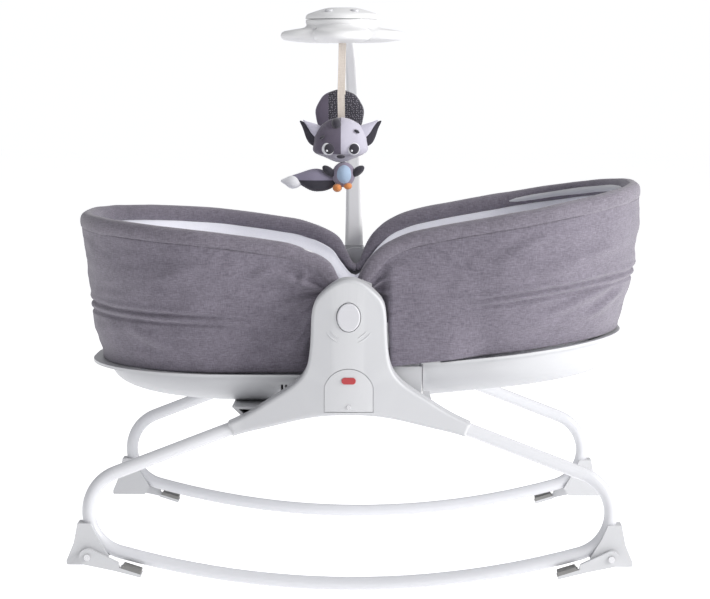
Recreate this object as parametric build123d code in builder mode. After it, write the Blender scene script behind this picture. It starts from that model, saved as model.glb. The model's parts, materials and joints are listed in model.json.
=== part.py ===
"""Baby rocker with a reclining bassinet and a toy arm. Millimetres, +Z up, +X towards the head end.
The origin is on the floor, midway between the two rockers and under the recline axis. -Y is the near side."""

import os
from math import atan, cos, degrees, radians, sin, sqrt, tan

from build123d import *

os.makedirs("parts", exist_ok=True)

# Rocker rails: one bent tube a side
RAIL_Y = 250
TUBE_R = 9
TUBE_WALL = 1.5
ROCKER_R = 1150
BEND_R = 57
BEND_X = 293
ARM_SLOPE = 21.2
ARM_END_X = 128

# Towers
TOWER_BACK = 233
TOWER_SPLIT = RAIL_Y
TOWER_FACE = 277
RIDGE_SLOPE = 6
RIDGE_R = 240
FRONT_FROM = 262
SHELL = 3
PIVOT_Z = 372
BUSH_R = 9
STEM_R = 4
BUTTON_W = 31
BUTTON_H = 38
DOOR_W = 64
DOOR_TOP = 303
DOOR_FOOT = 246

# Bassinet
SEAM_X = 97
TRAY_RIM_Z = 288
SEAT_RIM_Z = 300
TRAY_HALF = 224
WALL = 3
FOOT_END_X = -370
HEAD_END_X = 380
HEAD_SLOPE = degrees(atan(0.1))
HOOP_R = 6
SLEEVE_R = 8
HOOP_Y = 216.5
HOOP_HALF = 229
HOOP_CORNER = 205
CLOTH = 4

# Flip feet
FOOT_PIN_X = 350
FOOT_PIN_Z = 48
FOOT_HALF = 13

# Toy arm
ARM_X = -4
ARM_Y = 255
HUB_X = -15
SOCKET_FLOOR = 400
SOCKET_TOP = 424
PEG_R = 6

SIDES = {"near": -1, "far": 1}
ENDS = {"head": 1, "foot": -1}


def save(piece, name):
    """Labels a finished piece and writes it."""
    piece.label = name
    export_step(piece, f"parts/{name}.step")


def side_plane(y):
    """A vertical plane at this Y, drawn with X to the right and Z up. Extruding goes towards -Y."""
    return Plane.XZ.offset(-y)


def facing(y, side):
    """A vertical plane at this distance on one side, extruded outwards. On the far side its x is -X."""
    return Plane(origin=(0, side * y, 0), x_dir=(-side, 0, 0), z_dir=(0, side, 0))


# Rails: a rocker arc, a U-bend that touches it inside, and a straight arm that rises to the tower
rocker_z = TUBE_R + ROCKER_R
bend_z = rocker_z - sqrt((ROCKER_R - BEND_R) ** 2 - BEND_X**2)
touch = ROCKER_R / (ROCKER_R - BEND_R)
rocker_end = (BEND_X * touch, rocker_z - (rocker_z - bend_z) * touch)
bend_top = (BEND_X + BEND_R * sin(radians(ARM_SLOPE)), bend_z + BEND_R * cos(radians(ARM_SLOPE)))
arm_end = (ARM_END_X, bend_top[1] + (bend_top[0] - ARM_END_X) * tan(radians(ARM_SLOPE)))
for name, side in SIDES.items():
    with BuildPart() as rail:
        with BuildLine(side_plane(side * RAIL_Y)) as rail_path:
            Line(arm_end, bend_top)
            ThreePointArc(bend_top, (BEND_X + BEND_R, bend_z), rocker_end)
            ThreePointArc(rocker_end, (0, TUBE_R), (-rocker_end[0], rocker_end[1]))
            ThreePointArc((-rocker_end[0], rocker_end[1]), (-BEND_X - BEND_R, bend_z), (-bend_top[0], bend_top[1]))
            Line((-bend_top[0], bend_top[1]), (-arm_end[0], arm_end[1]))
        with BuildSketch(Plane(origin=rail_path.line @ 0, z_dir=rail_path.line % 0)):
            Circle(TUBE_R)
            Circle(TUBE_R - TUBE_WALL, mode=Mode.SUBTRACT)
        sweep(path=rail_path.line)
    save(rail.part, f"rail_{name}")


def tower_outline():
    """The tower seen from the side: a rounded head that flares into two arms."""
    tip_top, tip_low = (162, 228), (155, 210)
    flank = [(50, 360), (52, 325), (59, 298), (74, 281), (102, 262), tip_top]
    head = [(0, 422), (20, 416), (38, 401), flank[0]]
    with BuildSketch() as outline:
        with BuildLine():
            Spline(*head, tangents=((1, 0), (0.03, -1)))
            Spline(*flank, tangents=((0.03, -1), (0.93, -0.4)))
            Line(tip_top, tip_low)
            Spline(tip_low, (112, 222), (60, 235), (0, 241), tangents=((-0.93, 0.36), (-1, 0)))
            mirror(about=Plane.YZ)
        make_face()
    return outline.sketch


def tube_socket(side):
    """The two arm ends of a rail as solid bars, cut out of the tower covers."""
    with BuildPart() as bars:
        for end in (1, -1):
            start = Vector(end * (ARM_END_X - 1), side * RAIL_Y, arm_end[1] + 0.4)
            way = Vector(end * cos(radians(ARM_SLOPE)), 0, -sin(radians(ARM_SLOPE)))
            with BuildSketch(Plane(origin=start, z_dir=way)):
                Circle(TUBE_R + 0.05)
            extrude(amount=60)
    return bars.part


def outline_solid(depth_from, depth_to, side):
    """The tower's outline between two distances from the middle plane."""
    plane = facing(depth_from, side)
    face = plane * tower_outline()
    return extrude(face, amount=depth_to - depth_from, dir=plane.z_dir)


def outer_edges(faces):
    """The edges round a group of faces, without those between two of them."""
    edges = [edge for face in faces for edge in face.edges()]
    return [edge for edge in edges if sum(edge.is_same(other) for other in edges) == 1]


def ridged_block(side):
    """A block whose outer face is a soft vertical ridge, to shape the towers' fronts."""
    slope = radians(RIDGE_SLOPE)
    half = RIDGE_R * sin(slope)
    drop = RIDGE_R * (1 - cos(slope))
    far = (220, TOWER_FACE - drop - (220 - half) * tan(slope))
    edge = (half, TOWER_FACE - drop)
    with BuildPart() as block:
        with BuildSketch(Plane.XY.offset(150)):
            with BuildLine():
                Polyline((-edge[0], side * edge[1]), (-far[0], side * far[1]), (-far[0], side * 200),
                         (far[0], side * 200), (far[0], side * far[1]), (edge[0], side * edge[1]))
                ThreePointArc((edge[0], side * edge[1]), (0, side * TOWER_FACE), (-edge[0], side * edge[1]))
            make_face()
        extrude(amount=320)
    return block.part


DOOR_SPRING = DOOR_TOP - DOOR_W / 2 + 8


def arch(grow):
    """The door's arched outline, grown by this much all round."""
    half = DOOR_W / 2 + grow
    with BuildSketch() as shape:
        with BuildLine():
            Polyline((-half, DOOR_SPRING), (-half, DOOR_FOOT - grow), (half, DOOR_FOOT - grow), (half, DOOR_SPRING))
            ThreePointArc((half, DOOR_SPRING), (0, DOOR_TOP + grow), (-half, DOOR_SPRING))
        make_face()
    return shape.sketch


def button_oval(grow):
    """The release button's outline, centred on the recline axis."""
    with BuildSketch() as shape:
        with Locations((0, PIVOT_Z)):
            Ellipse(BUTTON_W / 2 + grow, BUTTON_H / 2 + grow)
    return shape.sketch


# The toy arm's socket is let into the top of the far tower
with BuildPart() as seat_block:
    with Locations(Pos(ARM_X, ARM_Y, SOCKET_FLOOR)):
        Cylinder(8, 20, align=(Align.CENTER, Align.CENTER, Align.MIN))
    with BuildSketch(Plane.XY.offset(SOCKET_TOP - 12)):
        with Locations((ARM_X, ARM_Y)):
            RectangleRounded(30, 20, 7)
    extrude(amount=12)
arm_seat = seat_block.part

DOOR_Y = TOWER_FACE - 3
door_halves = []
for name, side in SIDES.items():
    sockets = tube_socket(side)
    out = Vector(0, side, 0)
    crown = ridged_block(side)

    with BuildPart() as cover:
        add(outline_solid(TOWER_SPLIT, TOWER_FACE, side))
        add(crown, mode=Mode.INTERSECT)
        front = [face for face in cover.faces() if abs(face.normal_at().Y) > 0.9 and abs(face.center().Y) > FRONT_FROM]
        fillet(outer_edges(front), 5)
        with BuildSketch(facing(TOWER_SPLIT, side)):
            with Locations((0, 348)):
                RectangleRounded(80, 84, 18)
            with Locations((0, 275)):
                RectangleRounded(52, 46, 6)
        extrude(amount=TOWER_FACE - TOWER_SPLIT - 2 * SHELL, mode=Mode.SUBTRACT)
        with BuildSketch(facing(TOWER_SPLIT, side)):
            with Locations((0, 270)):
                RectangleRounded(44, 36, 6)
        extrude(amount=TOWER_FACE - TOWER_SPLIT, mode=Mode.SUBTRACT)
        add(sockets, mode=Mode.SUBTRACT)
        door_gap = extrude(facing(DOOR_Y - 0.4, side) * arch(0.8), amount=20, dir=out, mode=Mode.PRIVATE)
        add(door_gap, mode=Mode.SUBTRACT)
        hole = extrude(facing(TOWER_SPLIT, side) * button_oval(0.8), amount=60, dir=out, mode=Mode.PRIVATE)
        add(hole, mode=Mode.SUBTRACT)
        add(arm_seat, mode=Mode.SUBTRACT)
    save(cover.part, f"tower_cover_{name}")

    with BuildPart() as back:
        add(outline_solid(TOWER_BACK, TOWER_SPLIT, side))
        with BuildSketch(facing(TOWER_BACK + SHELL, side)):
            with Locations((0, 348)):
                RectangleRounded(80, 84, 18)
            with Locations((0, 275)):
                RectangleRounded(52, 46, 6)
        extrude(amount=40, mode=Mode.SUBTRACT)
        add(sockets, mode=Mode.SUBTRACT)
        with BuildSketch(facing(TOWER_BACK - 1, side)):
            with Locations((0, PIVOT_Z)):
                Circle(BUSH_R)
        extrude(amount=10, mode=Mode.SUBTRACT)
        add(arm_seat, mode=Mode.SUBTRACT)
        with BuildSketch(facing(TOWER_BACK - 3.5, side)):
            Polygon(*[(-side * x, z) for x, z in ((99, 268), (107, 268), (112, 248), (99, 248))], align=None)
        extrude(amount=3.5)
    save(back.part, f"tower_back_{name}")

    with BuildPart() as door:
        add(extrude(facing(DOOR_Y, side) * arch(0), amount=8, dir=out))
        add(crown, mode=Mode.INTERSECT)
    door_halves.append(door.part)

    # The bush is the recline axle: a flanged tube through the tower's back, the hinge plate turns on it
    with BuildPart() as bush:
        with BuildSketch(facing(TOWER_BACK - 10, side)):
            with Locations((0, PIVOT_Z)):
                Circle(BUSH_R)
                Circle(STEM_R + 0.5, mode=Mode.SUBTRACT)
        extrude(amount=10 + SHELL)
        with BuildSketch(facing(TOWER_BACK + SHELL, side)):
            with Locations((0, PIVOT_Z)):
                Circle(BUSH_R + 4)
                Circle(STEM_R + 0.5, mode=Mode.SUBTRACT)
        extrude(amount=2)
    save(bush.part, f"pivot_bush_{name}")

    with BuildPart() as button:
        add(extrude(facing(TOWER_FACE - 9, side) * button_oval(0), amount=11, dir=out))
        fillet(button.faces().sort_by(Axis.Y)[-1 if side > 0 else 0].edges(), 2)
        with BuildSketch(facing(TOWER_BACK - 2, side)):
            with Locations((0, PIVOT_Z)):
                Circle(STEM_R)
        extrude(amount=TOWER_FACE - TOWER_BACK - 6)
    save(button.part, f"release_button_{name}")

    # Return spring, a coil between the bush flange and the underside of the button
    with BuildPart() as spring:
        coil_low, coil_high = TOWER_BACK + SHELL + 3, TOWER_FACE - 10
        with BuildLine() as coil:
            Helix(pitch=5, height=coil_high - coil_low, radius=7,
                  center=(0, side * coil_low, PIVOT_Z), direction=(0, side, 0))
        with BuildSketch(Plane(origin=coil.line @ 0, z_dir=coil.line % 0)):
            Circle(0.7)
        sweep(path=coil.line, is_frenet=True)
    save(spring.part, f"release_spring_{name}")

save(Compound(children=door_halves), "tower_doors")

with BuildPart() as badge:
    with BuildSketch(facing(TOWER_FACE - 1, -1)):
        with Locations((0, 287.5)):
            SlotOverall(19, 9)
    extrude(amount=2.2)
    fillet(badge.faces().sort_by(Axis.Y)[0].edges(), 0.5)
    add(ridged_block(-1), mode=Mode.SUBTRACT)
save(badge.part, "badge")

CELL_R = 7.2
with BuildPart() as batteries:
    for x in (-16, 0, 16):
        with Locations(Pos(x, -(TOWER_SPLIT + 3), 275)):
            Cylinder(CELL_R, 44)
save(batteries.part, "batteries")

# Two steel tubes tie the towers together and carry the seat tray
TIE_X = 60
TIE_Z = 262
TIE_R = 8
BEAM_TOP = 245.9
with BuildPart() as ties:
    for x in (-TIE_X, TIE_X):
        with BuildSketch(side_plane(TOWER_BACK)):
            with Locations((x, TIE_Z)):
                Circle(TIE_R)
                Circle(TIE_R - 1.2, mode=Mode.SUBTRACT)
        extrude(amount=2 * TOWER_BACK)
save(ties.part, "cross_tubes")


def hull(levels, end_sign, grow):
    """A boat hull lofted through plan outlines: (z, end, half width, corner radius), shrunk by grow."""
    with BuildPart() as body:
        for z, end, half, corner in levels:
            with BuildSketch(Plane.XY.offset(z)):
                with Locations((end_sign * (end - 400 - grow / 2), 0)):
                    RectangleRounded(800 - grow, 2 * half - 2 * grow, corner - grow)
        loft(ruled=False)
    return body.part


FOOT_LEVELS = [(246, 270, 168, 130), (256, 318, 204, 170), (272, 339, 219, 185), (TRAY_RIM_Z, 345, TRAY_HALF - 2, 195)]
foot_outer = hull(FOOT_LEVELS, -1, 0)
foot_inner = Pos(0, 0, WALL) * hull(FOOT_LEVELS, -1, WALL)
with BuildPart() as main_tray:
    add(foot_outer)
    split(bisect_by=Plane.YZ.offset(SEAM_X), keep=Keep.BOTTOM)
    with BuildSketch(Plane.XY.offset(TRAY_RIM_Z - 4)):
        with Locations((FOOT_END_X + 400, 0)):
            RectangleRounded(800, 2 * TRAY_HALF, 205)
        with Locations((SEAM_X + 400, 0)):
            Rectangle(800, 600, mode=Mode.SUBTRACT)
    extrude(amount=4)
    with BuildSketch(Plane.XY.offset(TRAY_RIM_Z - 22)):
        with Locations((SEAM_X / 2 + 10, 0)):
            Rectangle(SEAM_X - 20, 2 * TRAY_HALF)
    extrude(amount=SEAT_RIM_Z - TRAY_RIM_Z + 22)
    add(foot_inner, mode=Mode.SUBTRACT)
    with BuildSketch(Plane.XY.offset(TRAY_RIM_Z - 24)):
        with Locations((SEAM_X / 2 - 10, 0)):
            Rectangle(SEAM_X + 20 - 2 * WALL, 2 * (TRAY_HALF - 5))
    extrude(amount=60, mode=Mode.SUBTRACT)
    with BuildSketch(side_plane(300)):
        with Locations((-TIE_X, TIE_Z), (TIE_X, TIE_Z)):
            Circle(TIE_R + 0.05)
    extrude(amount=600, mode=Mode.SUBTRACT)
    with BuildSketch(side_plane(-190)):
        with Locations((-83, 269)):
            with GridLocations(5.4, 0, 4, 1):
                SlotOverall(11, 3, rotation=90)
    extrude(amount=60, mode=Mode.SUBTRACT)
save(main_tray.part, "main_tray")

# Head tray: the same hull, tilted with the head end and cut off at the seam
head_frame = Plane(origin=(SEAM_X, 0, SEAT_RIM_Z + 3), x_dir=(cos(radians(HEAD_SLOPE)), 0, sin(radians(HEAD_SLOPE))),
                   z_dir=(-sin(radians(HEAD_SLOPE)), 0, cos(radians(HEAD_SLOPE))))
HEAD_LEN = (HEAD_END_X - SEAM_X) / cos(radians(HEAD_SLOPE))
HEAD_LEVELS = [(-46, 232, 168, 140), (-38, 262, 204, 170), (-22, 268, 219, 185), (0, 272, TRAY_HALF - 2, 190)]
head_outer = head_frame * hull(HEAD_LEVELS, 1, 0)
head_inner = head_frame * Pos(0, 0, WALL) * hull(HEAD_LEVELS, 1, WALL)
with BuildPart() as head_tray:
    add(head_outer)
    with BuildSketch(head_frame.offset(-4)):
        with Locations((HEAD_LEN - 400, 0)):
            RectangleRounded(800, 2 * TRAY_HALF, 200)
    extrude(amount=4)
    add(head_inner, mode=Mode.SUBTRACT)
    split(bisect_by=Plane.YZ.offset(SEAM_X + 1.5), keep=Keep.TOP)
save(head_tray.part, "head_tray")


def hoop_path(root, shoulder, end_point):
    """The bassinet's hoop: up from the hinge, along one side, round the end and back on the other side."""
    points = [(root[0], -HOOP_Y, root[1]), (shoulder[0], -HOOP_Y - 4, shoulder[1]), (end_point[0], -HOOP_HALF, end_point[1])]
    points += [(x, -y, z) for x, y, z in reversed(points)]
    with BuildLine() as path:
        FilletPolyline(*points, radius=[36, HOOP_CORNER, HOOP_CORNER, 36])
    return path.line


def ring_sweep(path, outer, inner):
    """A tube of these two radii along a path."""
    with BuildPart() as tube:
        with BuildSketch(Plane(origin=path @ 0, z_dir=path % 0)):
            Circle(outer)
            Circle(inner, mode=Mode.SUBTRACT)
        sweep(path=path)
    return tube.part


foot_hoop_line = hoop_path((-28, 408), (-46, 452), (-380, 485))
head_hoop_line = hoop_path((22, 410), (42, 460), (391, 525))
save(ring_sweep(foot_hoop_line, HOOP_R, HOOP_R - 1.2), "foot_hoop")
save(ring_sweep(head_hoop_line, HOOP_R, HOOP_R - 1.2), "head_hoop")
save(ring_sweep(foot_hoop_line, SLEEVE_R, HOOP_R + 0.05), "foot_rim_sleeve")
save(ring_sweep(head_hoop_line, SLEEVE_R, HOOP_R + 0.05), "head_rim_sleeve")


def cloth_wall(base, top, sign, cut_x, grow=0.0):
    """The bassinet's wall between its tray and its hoop: (plane, end, half width, corner radius) twice."""
    with BuildPart() as body:
        for plane, end, half, corner in (base, top):
            with BuildSketch(plane):
                with Locations((sign * (end - 400 - grow / 2), 0)):
                    RectangleRounded(800 - grow, 2 * half - 2 * grow, corner - grow)
        loft()
        split(bisect_by=Plane.YZ.offset(cut_x), keep=Keep.TOP if sign > 0 else Keep.BOTTOM)
    return body.part


def tilted(z, slope):
    """A plane through the middle plane at this height, rising towards +X by this slope."""
    a = atan(slope)
    return Plane(origin=(0, 0, z), x_dir=(cos(a), 0, sin(a)), z_dir=(-sin(a), 0, cos(a)))


foot_base = (Plane.XY.offset(TRAY_RIM_Z + 0.3), 352, 214, 190)
foot_top = (tilted(434.5, -0.086), 382, 222, 200)
with BuildPart() as foot_cloth:
    add(cloth_wall(foot_base, foot_top, -1, -62))
    add(cloth_wall(foot_base, foot_top, -1, 0, CLOTH), mode=Mode.SUBTRACT)
save(foot_cloth.part, "foot_cloth")

head_base = (tilted(294.5, 0.1), 376, 214, 185)
head_top = (tilted(436.5, 0.182), 402, 222, 200)
with BuildPart() as head_cloth:
    add(cloth_wall(head_base, head_top, 1, 70))
    add(cloth_wall(head_base, head_top, 1, 0, CLOTH), mode=Mode.SUBTRACT)
save(head_cloth.part, "head_cloth")

# Hinge plates: a ring on the bush, a finger up to the hoop and a leg down to the head tray
PLATE_Y = 225
for name, side in SIDES.items():
    with BuildPart() as plate:
        with BuildSketch(side_plane(side * PLATE_Y + (4 if side > 0 else 0))):
            with BuildLine():
                Polyline((4, 396), (17, 418), (30, 412), (30, 372), (122, 318), (122, 303), (100, 303), (-4, 352), close=True)
            make_face()
            with Locations((0, PIVOT_Z)):
                Circle(24)
                Circle(BUSH_R + 0.06, mode=Mode.SUBTRACT)
        extrude(amount=4)
    save(plate.part, f"hinge_plate_{name}")

# Pads: foam cushions on the two trays
with BuildPart() as seat_pad:
    with BuildSketch(Plane.XY.offset(271)):
        with Locations((-115, 0)):
            RectangleRounded(400, 396, 130)
    extrude(amount=30)
    fillet(seat_pad.faces().sort_by(Axis.Z)[-1].edges(), 10)
save(seat_pad.part, "seat_pad")

with BuildPart() as back_pad:
    with BuildSketch(head_frame.offset(-30)) as pad_plan:
        with Locations((252 - 260, 0)):
            RectangleRounded(520, 396, 150)
        with Locations((12 - 300, 0)):
            Rectangle(600, 600, mode=Mode.SUBTRACT)
        fillet(pad_plan.vertices().group_by(Axis.X)[0], 20)
    extrude(amount=38)
    fillet(back_pad.faces().sort_by(Axis.Z)[-1].edges(), 10)
save(back_pad.part, "back_pad")

# Harness: a crotch strap and two waist straps lie on the pad and meet in the buckle
PAD_TOP = 301
with BuildPart() as straps:
    with BuildSketch(Plane.XY.offset(PAD_TOP)):
        with Locations((-62, 0)):
            Rectangle(70, 25)
        with Locations((0, 92), (0, -92)):
            Rectangle(25, 130)
    extrude(amount=2)
save(straps.part, "harness_straps")

with BuildPart() as buckle:
    with BuildSketch(Plane.XY.offset(PAD_TOP)):
        RectangleRounded(54, 52, 12)
    extrude(amount=16)
    fillet(buckle.faces().sort_by(Axis.Z)[-1].edges(), 4)
    with BuildSketch(Plane.XY.offset(PAD_TOP + 9)):
        Circle(11.5)
    extrude(amount=10, mode=Mode.SUBTRACT)
save(buckle.part, "buckle_body")

with BuildPart() as buckle_button:
    with BuildSketch(Plane.XY.offset(PAD_TOP + 12)):
        Circle(11)
    extrude(amount=5)
    fillet(buckle_button.faces().sort_by(Axis.Z)[-1].edges(), 1)
save(buckle_button.part, "buckle_button")

# Vibration unit under the seat pad: a two-walled box, its motor and the off-centre weight
VIBE_X, VIBE_Y, VIBE_Z = -120, -120, 260
with BuildPart() as vibe_box:
    with Locations(Pos(VIBE_X, VIBE_Y, VIBE_Z)):
        Box(84, 46, 20)
        Box(78, 40, 14, mode=Mode.SUBTRACT)
save(vibe_box.part, "vibration_housing")

with BuildPart() as motor:
    with Locations(Pos(VIBE_X - 16, VIBE_Y, VIBE_Z) * Rot(0, 90, 0)):
        Cylinder(6.5, 34)
    with Locations(Pos(VIBE_X + 9, VIBE_Y, VIBE_Z) * Rot(0, 90, 0)):
        Cylinder(1, 20)
save(motor.part, "vibration_motor")

with BuildPart() as weight:
    with BuildSketch(Plane.YZ.offset(VIBE_X + 8)):
        with Locations((VIBE_Y, VIBE_Z)):
            Circle(6)
            Rectangle(12, 6, align=(Align.CENTER, Align.MIN), mode=Mode.SUBTRACT)
            Circle(2.2)
            Circle(1.03, mode=Mode.SUBTRACT)
    extrude(amount=10)
save(weight.part, "vibration_weight")

# Cross beam under the seat tray: a hollow triangular moulding between the rear arms of the towers
with BuildPart() as beam:
    with BuildSketch(side_plane(TOWER_BACK)):
        Polygon((-158, BEAM_TOP), (-140, 229), (-98, 240), (-98, BEAM_TOP), align=None)
        Polygon((-149, BEAM_TOP - 3), (-138, 233), (-104, 242), align=None, mode=Mode.SUBTRACT)
    extrude(amount=2 * TOWER_BACK)
save(beam.part, "cross_beam")

with BuildPart() as socket:
    add(arm_seat)
    with Locations(Pos(ARM_X, ARM_Y, SOCKET_FLOOR + 4)):
        Cylinder(PEG_R + 0.05, 40, align=(Align.CENTER, Align.CENTER, Align.MIN), mode=Mode.SUBTRACT)
save(socket.part, "arm_socket")

# Flip feet: a saddle on each U-bend, a lever on its pin, and the lever's rubber pad
LEVER_Y = RAIL_Y + FOOT_HALF + 0.5
LEVER_THICK = 8
LEVER_DIP = radians(17.5)
PAD_REACH = 14
LEVER_ARM = [(0, 11), (42, 5), (45, -1), (76, -1), (76, -5), (40, -7), (0, -11)]
LEVER_SOLE = [(46, -1), (76, -1), (76, -5), (46, -5)]
PAD_SHAPE = [(47, -1), (75, -1), (74, 4), (49, 4)]
for end_name, end in ENDS.items():
    for name, side in SIDES.items():
        y0 = side * RAIL_Y
        tube_cut = Pos(end * BEND_X, y0, bend_z) * Rot(90, 0, 0) * Torus(BEND_R, TUBE_R + 0.05)
        with BuildPart() as saddle:
            with BuildSketch(side_plane(y0 + FOOT_HALF)):
                with BuildLine():
                    Polyline((end * 379, 36), (end * 330, 36), (end * 322, 47), (end * 338, 74), (end * 346, 92),
                             (end * 364, 92), (end * 369, 66), (end * 379, 42), (end * 379, 36))
                make_face()
            extrude(amount=2 * FOOT_HALF)
            add(tube_cut, mode=Mode.SUBTRACT)
            fillet(saddle.edges().filter_by(Axis.Y).group_by(Axis.X)[-1 if end > 0 else 0], 2)
        save(saddle.part, f"foot_bracket_{end_name}_{name}")

        lever_plane = Plane(origin=(end * FOOT_PIN_X, side * LEVER_Y, FOOT_PIN_Z),
                            x_dir=(-end * cos(LEVER_DIP), 0, -sin(LEVER_DIP)), z_dir=(0, 1, 0))
        with BuildPart() as lever:
            with BuildSketch(lever_plane):
                Circle(11)
                mirrored = -1 if lever_plane.y_dir.Z < 0 else 1
                Polygon(*[(u, mirrored * v) for u, v in LEVER_ARM], align=None)
                Circle(3.05, mode=Mode.SUBTRACT)
            extrude(amount=LEVER_THICK, dir=(0, side, 0))
            with BuildSketch(lever_plane):
                Polygon(*[(u, mirrored * v) for u, v in LEVER_SOLE], align=None)
            extrude(amount=PAD_REACH, dir=(0, -side, 0))
        save(lever.part, f"foot_lever_{end_name}_{name}")

        pad_plane = Plane(origin=lever_plane.origin + Vector(0, side * LEVER_THICK, 0), x_dir=lever_plane.x_dir,
                          z_dir=lever_plane.z_dir)
        with BuildPart() as pad:
            with BuildSketch(pad_plane):
                Polygon(*[(u, mirrored * v) for u, v in PAD_SHAPE], align=None)
            extrude(amount=PAD_REACH + LEVER_THICK, dir=(0, -side, 0))
        save(pad.part, f"foot_pad_{end_name}_{name}")

# Screws of the towers and doors, and the pins of the flip feet
with BuildPart() as screws:
    for side in SIDES.values():
        for x, z in ((-46, 300), (46, 300), (-88, 240), (88, 240)):
            with BuildSketch(facing(TOWER_BACK - 1.6, side)):
                with Locations((-side * x, z)):
                    Circle(3.6)
                    RegularPolygon(1.5, 6, mode=Mode.SUBTRACT)
            extrude(amount=1.6)
        with BuildSketch(facing(TOWER_FACE, side)):
            with Locations((0, DOOR_FOOT + 7)):
                Circle(2.6)
        extrude(amount=1.2)
    for end in ENDS.values():
        for side in SIDES.values():
            with BuildSketch(facing(RAIL_Y + FOOT_HALF, side)):
                with Locations((-side * end * FOOT_PIN_X, FOOT_PIN_Z)):
                    Circle(3)
            extrude(amount=9)
            with BuildSketch(facing(RAIL_Y + FOOT_HALF + 9, side)):
                with Locations((-side * end * FOOT_PIN_X, FOOT_PIN_Z)):
                    Circle(4.4)
            extrude(amount=2)
save(screws.part, "screws_and_pins")

# Toy arm: a tapering hollow-looking bow from the far tower to the music unit
ARM_STATIONS = [
    (ARM_Y, 424.5, 28, 16, 90),
    (253, 480, 25, 14, 92),
    (246, 560, 22, 12, 96),
    (222, 650, 19, 11, 112),
    (160, 722, 17, 10, 142),
    (60, 752, 16, 9, 172),
]
with BuildPart() as toy_arm:
    for y, z, width, thick, way in ARM_STATIONS:
        direction = Vector(0, cos(radians(way)), sin(radians(way)))
        shift = ARM_X + (HUB_X - ARM_X) * (ARM_Y - y) / ARM_Y
        with BuildSketch(Plane(origin=(shift, y, z), x_dir=(1, 0, 0), z_dir=direction)):
            RectangleRounded(width, thick, thick * 0.4)
    loft()
    with Locations(Pos(ARM_X, ARM_Y, SOCKET_FLOOR + 5)):
        Cylinder(PEG_R, SOCKET_TOP - SOCKET_FLOOR, align=(Align.CENTER, Align.CENTER, Align.MIN))
save(toy_arm.part, "toy_arm")

# Music unit: lower shell with four drooping petals, dome, speaker, batteries and two buttons
HUB = Pos(HUB_X, 0, 0)
with BuildPart() as hub_body:
    with BuildSketch(Plane.XZ) as profile:
        with BuildLine():
            Polyline((0, 733), (34, 733), (50, 742), (52.5, 758), (52.5, 766.5), (49.5, 766.5), (49.5, 758),
                     (0, 758), (0, 733))
        make_face()
    revolve(axis=Axis.Z)
    with PolarLocations(0, 4):
        with Locations(Pos(70, 0, 744) * Rot(0, 8, 0)):
            Cylinder(26, 9)
    with Locations(Pos(0, 0, 746.5)):
        Cylinder(34, 13, mode=Mode.SUBTRACT)
    with PolarLocations(0, 2, start_angle=90):
        with Locations(Pos(14, 0, 0)):
            with Locations(Pos(0, 0, 731.5)):
                Box(14, 4, 6)
hub_part = HUB * hub_body.part
with BuildPart() as hub_shell:
    add(hub_part)
    add(toy_arm.part, mode=Mode.SUBTRACT)
save(hub_shell.part, "hub_body")

with BuildPart() as hub_dome:
    with BuildSketch(Plane.XZ):
        with BuildLine():
            Polyline((0, 783), (0, 780), (30, 778), (47, 768), (47, 767), (52.5, 767))
            Spline((52.5, 767), (44, 776), (24, 782), (0, 783), tangents=((0, 1), (-1, 0)))
        make_face()
    revolve(axis=Axis.Z)
    with Locations(Pos(-18, -32, 776), Pos(18, -32, 776)):
        Cylinder(6.4, 20, mode=Mode.SUBTRACT)
save(HUB * hub_dome.part, "hub_dome")

for name, x in (("music_button", -18), ("mode_button", 18)):
    with BuildPart() as key:
        with Locations(Pos(HUB_X + x, -32, 774.5)):
            Cylinder(6, 11)
        fillet(key.faces().sort_by(Axis.Z)[-1].edges(), 1.2)
    save(key.part, name)

with BuildPart() as speaker:
    with Locations(Pos(HUB_X, 0, 747)):
        Cylinder(26, 6)
    with Locations(Pos(HUB_X, 0, 743)):
        Cylinder(12, 4)
save(speaker.part, "hub_speaker")

with BuildPart() as cells:
    for y in (-5, 11, 27):
        with Locations(Pos(HUB_X, y, 766) * Rot(0, 90, 0)):
            Cylinder(7, 50)
save(cells.part, "hub_batteries")

# Hanging toys: each is a stuffed solid on a flat ribbon
TOY_Y = {"fox": -14, "ball": 14}
with BuildPart() as fox:
    with Locations(Pos(-18, TOY_Y["fox"] - 20, 598)):
        Sphere(30)
    with Locations(Pos(-17, TOY_Y["fox"] - 16, 553)):
        Sphere(20)
    with Locations(Pos(-62, TOY_Y["fox"] - 16, 545) * Rot(0, 80, 0)):
        Cylinder(10, 58)
save(fox.part, "fox_toy")
with BuildPart() as ball:
    with Locations(Pos(-20, TOY_Y["ball"] + 22, 632) * Rot(90, 0, 0)):
        Cylinder(35, 22)
    fillet(ball.edges(), 9)
save(ball.part, "round_toy")
RIBBON = (11, 1.2)
for toy, top, low in (("fox", 726, 632), ("ball", 726, 666)):
    sign = -1 if toy == "fox" else 1
    with BuildPart() as ribbon:
        with Locations(Pos(HUB_X, TOY_Y[toy] + sign * 2, (top + low) / 2)):
            Box(RIBBON[0], RIBBON[1], top - low)
    save(ribbon.part, f"{toy}_ribbon")
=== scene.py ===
# %% [markdown]
# # A baby rocker with a reclining bassinet
# The engineering model gives every rigid part its true size and place. This lesson dresses it:
# the sewn bassinet, the padded rim, the cushions, the toys and the finish of every surface.

# %% Load the frame
import json
import math

import bmesh
import bpy
import numpy as np
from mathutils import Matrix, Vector, noise


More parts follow.
